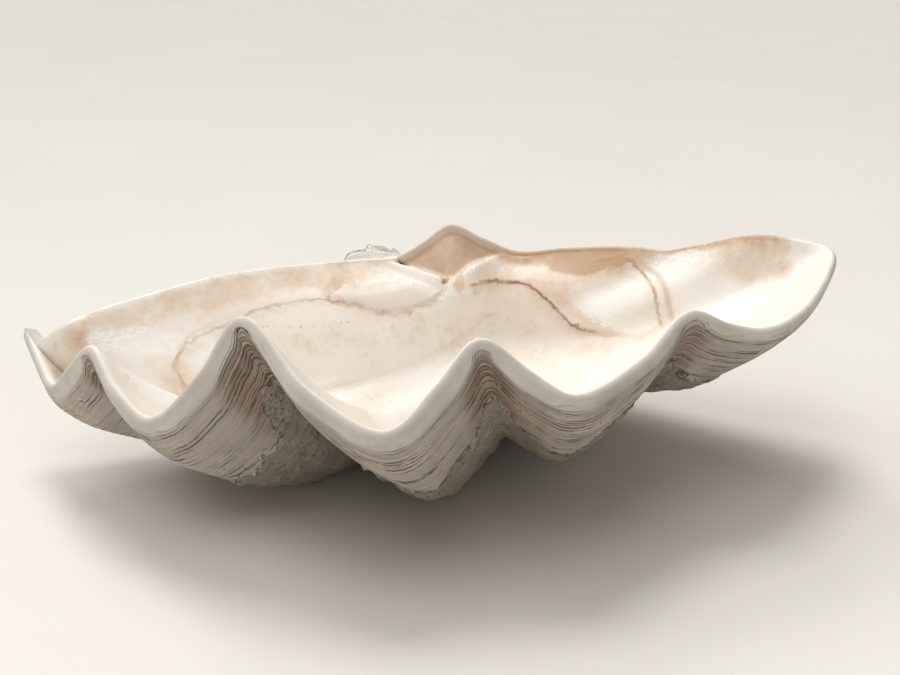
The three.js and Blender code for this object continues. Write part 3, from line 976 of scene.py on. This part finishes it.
def shell_material():
    g = Graph("shell")
    place = g.position()
    streaks = g.vector(g.attribute("ray_x"), g.attribute("ray_y"), 0.0)
    chalk, chalk_height = outside_look(g, place, streaks)
    porcelain, porcelain_height = inside_look(g, place, streaks)
    inside = g.step(0.5, 0.85, g.attribute("turned"))
    g.plug(g.shader.inputs["Base Color"], g.mix(inside, chalk, porcelain))
    gloss = g.math("MULTIPLY_ADD", g.noise(place, 22, 3.0), 0.05, INSIDE_ROUGHNESS)
    rough = g.math("MULTIPLY_ADD", inside, g.math("SUBTRACT", gloss, OUTSIDE_ROUGHNESS), OUTSIDE_ROUGHNESS)
    g.plug(g.shader.inputs["Roughness"], rough)
    height = g.add(g.times(g.math("SUBTRACT", 1.0, inside), chalk_height), g.times(inside, porcelain_height))
    g.plug(g.shader.inputs["Normal"], g.bump(height, MM))
    g.shader.inputs["IOR"].default_value = 1.5
    g.shader.inputs["Specular IOR Level"].default_value = 0.4
    return g.material


# ---------------------------------------------------------------- stage


def make_camera():
    data = bpy.data.cameras.new("camera")
    data.sensor_width = SENSOR
    data.lens = FOCAL
    camera = bpy.data.objects.new("camera", data)
    bpy.context.scene.collection.objects.link(camera)
    back = Vector((math.sin(CAMERA_AZIMUTH) * math.cos(CAMERA_ELEVATION),
                   -math.cos(CAMERA_AZIMUTH) * math.cos(CAMERA_ELEVATION),
                   math.sin(CAMERA_ELEVATION)))
    aim = back.to_track_quat("Z", "Y").to_matrix() @ Matrix.Rotation(CAMERA_ROLL, 3, "Z")
    camera.matrix_world = Matrix.Translation(Vector(TARGET) + back * CAMERA_DISTANCE) @ aim.to_4x4()
    bpy.context.scene.camera = camera


def make_floor():
    mesh = bpy.data.meshes.new("floor")
    half = FLOOR / 2
    corners = [(-half, -half, 0), (half, -half, 0), (half, half, 0), (-half, half, 0)]
    mesh.from_pydata(corners, [], [(0, 1, 2, 3)])
    floor = bpy.data.objects.new("floor", mesh)
    bpy.context.scene.collection.objects.link(floor)
    g = Graph("paper")
    place = g.position()
    shade = g.step(-1.2, 1.2, g.noise(place, 400, 2.0))
    g.plug(g.shader.inputs["Base Color"], g.mix(shade, PAPER, PAPER_SHADE))
    g.shader.inputs["Roughness"].default_value = 0.85
    g.shader.inputs["Specular IOR Level"].default_value = 0.2
    mesh.materials.append(g.material)


def make_light(name, direction, distance, size, power, colour):
    data = bpy.data.lights.new(name, "AREA")
    data.shape = "DISK"
    data.size = size
    data.energy = power
    data.color = colour
    lamp = bpy.data.objects.new(name, data)
    way = Vector(direction).normalized()
    lamp.matrix_world = Matrix.Translation(way * distance) @ way.to_track_quat("Z", "Y").to_matrix().to_4x4()
    lamp.visible_camera = False
    bpy.context.scene.collection.objects.link(lamp)


def make_sun(name, direction, angle, strength, colour):
    data = bpy.data.lights.new(name, "SUN")
    data.angle = angle
    data.energy = strength
    data.color = colour
    lamp = bpy.data.objects.new(name, data)
    lamp.matrix_world = Vector(direction).to_track_quat("Z", "Y").to_matrix().to_4x4()
    bpy.context.scene.collection.objects.link(lamp)


def make_room():
    world = bpy.data.worlds.new("room")
    world.use_nodes = True
    world.node_tree.nodes["Background"].inputs["Color"].default_value = ROOM_COLOUR
    world.node_tree.nodes["Background"].inputs["Strength"].default_value = ROOM_STRENGTH
    bpy.context.scene.world = world
    bpy.context.scene.view_settings.view_transform = "Standard"


valve = make_valve(Base())
valve.data.materials.append(shell_material())
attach(valve, "root")
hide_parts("valve")

make_camera()
make_floor()
make_sun("high_window", (-0.04, 0.38, 0.93), 22 * DEG, 1.35, (1, 0.985, 0.96))
make_sun("window", (-0.12, 0.66, 0.7), 20 * DEG, 0.75, (1, 0.985, 0.96))
make_sun("left_window", (-0.72, 0.36, 0.5), 22 * DEG, 0.4, (1, 0.99, 0.97))
make_light("ceiling", (-0.3, -0.3, 1), 2.6, 2.2, 20, (1, 0.99, 0.97))
make_sun("room_side", (-0.15, -1, 0.22), 50 * DEG, 0.26, (1, 0.95, 0.9))
make_room()
